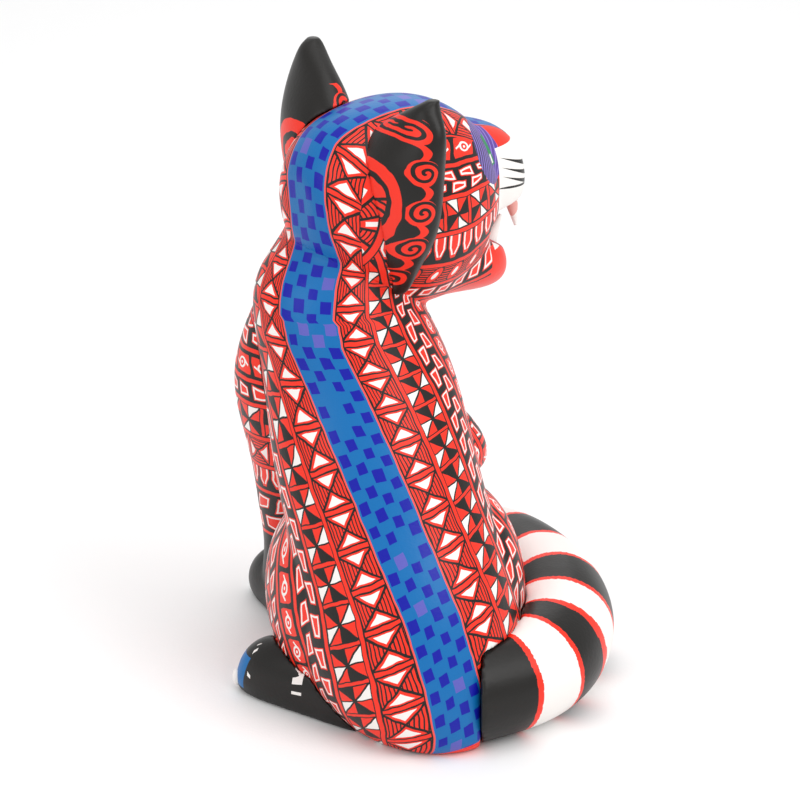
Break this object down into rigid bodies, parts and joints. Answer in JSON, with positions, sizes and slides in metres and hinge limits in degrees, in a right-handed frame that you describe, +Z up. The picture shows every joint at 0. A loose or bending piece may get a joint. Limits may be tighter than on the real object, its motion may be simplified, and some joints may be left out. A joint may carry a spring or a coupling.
{
  "type": "alebrije figure",
  "caption": "Carved and painted wooden big cat, seated and looking over its shoulder with an open fanged mouth, upright ears and a thick ringed tail curled round its side.",
  "frame": {"origin": "on the flat underside of the torso, on the surface that the figure stands on, under the middle of the pelvis", "axes": "+Z up, -Y the way the pelvis faces, +X the figure's left"},
  "size_m": [0.1568, 0.1768, 0.253],
  "materials": {
    "body_paint": "acrylic paint on wood, satin",
    "head_paint": "acrylic paint on wood, satin",
    "ear_paint": "acrylic paint on wood, satin",
    "tail_paint": "acrylic paint on wood, satin",
    "leg_paint": "acrylic paint on wood, satin",
    "paw_paint": "acrylic paint on wood, satin",
    "tooth_paint": "acrylic paint on wood, satin",
    "tongue_paint": "acrylic paint on wood, satin",
    "bare_wood": "bare, sanded"
  },
  "bodies": {
    "figure": {"torso": "body_paint", "head": "head_paint", "tongue": "tongue_paint", "upper_left_fang": "tooth_paint", "upper_right_fang": "tooth_paint", "lower_left_fang": "tooth_paint", "lower_right_fang": "tooth_paint", "left_foreleg": "leg_paint", "right_foreleg": "leg_paint", "left_hind_foot": "paw_paint", "right_hind_foot": "paw_paint", "neck_dowel": "bare_wood", "left_foreleg_dowel": "bare_wood", "right_foreleg_dowel": "bare_wood", "left_foot_dowel": "bare_wood", "right_foot_dowel": "bare_wood"},
    "left_ear": {"left_ear": "ear_paint", "left_ear_peg": "bare_wood"},
    "right_ear": {"right_ear": "ear_paint", "right_ear_peg": "bare_wood"},
    "tail": {"tail": "tail_paint", "tail_peg": "bare_wood"}
  },
  "joints": [
    {"name": "left_ear_pull", "type": "slide", "parent": "figure", "child": "left_ear", "axis": [0.1983, -0.7399, 0.6428], "range_m": [0, 0.025]},
    {"name": "right_ear_pull", "type": "slide", "parent": "figure", "child": "right_ear", "axis": [-0.1983, 0.7399, 0.6428], "range_m": [0, 0.025]},
    {"name": "tail_pull", "type": "slide", "parent": "figure", "child": "tail", "axis": [-0.9397, 0.342, 0], "range_m": [0, 0.03]}
  ]
}
